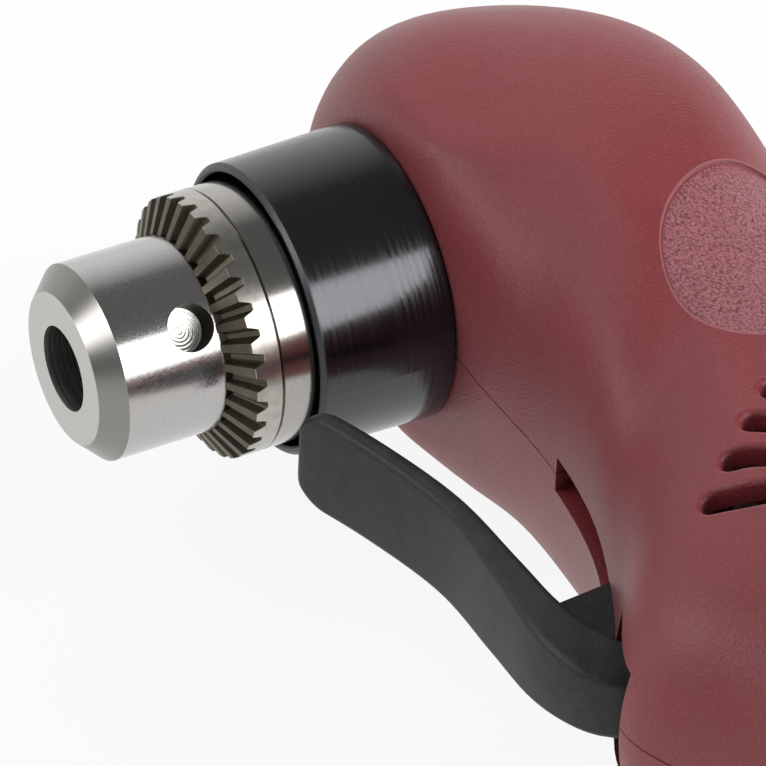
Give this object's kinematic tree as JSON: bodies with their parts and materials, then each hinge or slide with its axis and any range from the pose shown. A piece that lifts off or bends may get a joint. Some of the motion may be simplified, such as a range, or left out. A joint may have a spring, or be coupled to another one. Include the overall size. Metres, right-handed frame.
{
  "type": "right angle drill",
  "caption": "Corded right angle drill with a keyed jaw chuck, long paddle trigger, bevel gear head and a vented two-half moulded housing.",
  "frame": {"origin": "centre of the chuck's nose face, at the mouth of its bore", "axes": "+X out of the chuck along its axis, +Y along the handle away from the head, +Z out of the left side, which faces up as the tool lies"},
  "size_m": [0.0991, 0.2456, 0.0611],
  "materials": {
    "housing_plastic": "satin grained moulding",
    "collar_black": "satin black",
    "chuck_steel": "turned",
    "sleeve_steel": "polished",
    "lever_plastic": "fine grain",
    "hard_steel": "ground",
    "bearing_steel": "polished",
    "bronze": "sintered",
    "core_steel": "varnished laminations",
    "copper": "enamelled wire",
    "fan_plastic": "moulded",
    "carbon": "pressed",
    "holder_brass": "folded",
    "switch_plastic": "moulded",
    "gland_rubber": "moulded"
  },
  "bodies": {
    "housing": {"left_housing": "housing_plastic", "right_housing": "housing_plastic", "housing_screws": "hard_steel", "nose_collar": "collar_black", "spindle_bearing": "bearing_steel", "spindle_bush": "bronze", "intermediate_bearing": "bearing_steel", "intermediate_bush": "bronze", "motor_bearing_front": "bearing_steel", "motor_bearing_rear": "bearing_steel", "field_stator": "core_steel", "field_coils": "copper", "brush_holders": "holder_brass", "carbon_brushes": "carbon", "lever_pin": "hard_steel", "trigger_switch": "switch_plastic", "cord_gland": "gland_rubber"},
    "spindle": {"spindle": "hard_steel", "bevel_gear": "hard_steel", "chuck_body": "chuck_steel", "chuck_screw": "hard_steel"},
    "intermediate": {"intermediate_shaft": "hard_steel", "reduction_gear": "hard_steel"},
    "armature": {"armature_shaft": "hard_steel", "armature_core": "core_steel", "armature_winding": "copper", "commutator": "copper", "cooling_fan": "fan_plastic"},
    "sleeve": {"chuck_sleeve": "sleeve_steel", "chuck_nut": "hard_steel"},
    "jaw_1": {"chuck_jaw_1": "hard_steel"},
    "jaw_2": {"chuck_jaw_2": "hard_steel"},
    "jaw_3": {"chuck_jaw_3": "hard_steel"},
    "trigger": {"trigger_lever": "lever_plastic"},
    "plunger": {"switch_plunger": "switch_plastic"}
  },
  "joints": [
    {"name": "spindle_spin", "type": "hinge", "parent": "housing", "child": "spindle", "pos_m": [0, 0, 0], "axis": [1, 0, 0], "continuous": true},
    {"name": "intermediate_spin", "type": "hinge", "parent": "housing", "child": "intermediate", "pos_m": [-0.0832, 0.04, 0], "axis": [0, 1, 0], "continuous": true},
    {"name": "armature_spin", "type": "hinge", "parent": "housing", "child": "armature", "pos_m": [-0.0712, 0.12, 0], "axis": [0, 1, 0], "continuous": true},
    {"name": "sleeve_turn", "type": "hinge", "parent": "spindle", "child": "sleeve", "pos_m": [-0.03, 0, 0], "axis": [-1, 0, 0], "range_deg": [0, 3960]},
    {"name": "jaw_1_slide", "type": "slide", "parent": "spindle", "child": "jaw_1", "axis": [0.9659, 0.0648, -0.2506], "range_m": [0, 0.02202]},
    {"name": "jaw_2_slide", "type": "slide", "parent": "spindle", "child": "jaw_2", "axis": [0.9659, 0.1846, 0.1814], "range_m": [0, 0.02202]},
    {"name": "jaw_3_slide", "type": "slide", "parent": "spindle", "child": "jaw_3", "axis": [0.9659, -0.2494, 0.0692], "range_m": [0, 0.02202]},
    {"name": "trigger_press", "type": "hinge", "parent": "housing", "child": "trigger", "pos_m": [-0.0392, 0.092, 0], "axis": [0, 0, -1], "range_deg": [0, 9], "stiffness_Nm_per_rad": 0.6, "springref_deg": -8.59},
    {"name": "plunger_slide", "type": "slide", "parent": "housing", "child": "plunger", "axis": [-1, 0, 0], "range_m": [0, 0.0036]}
  ],
  "couplings": [
    {"joint": "intermediate_spin", "follows": "spindle_spin", "ratio": -2.5},
    {"joint": "armature_spin", "follows": "spindle_spin", "ratio": 7.5},
    {"joint": "sleeve_turn", "follows": "jaw_1_slide", "rad_per_m": 3138.3},
    {"joint": "jaw_2_slide", "follows": "jaw_1_slide", "ratio": 1},
    {"joint": "jaw_3_slide", "follows": "jaw_1_slide", "ratio": 1},
    {"joint": "plunger_slide", "follows": "trigger_press", "m_per_rad": 0.0225}
  ]
}
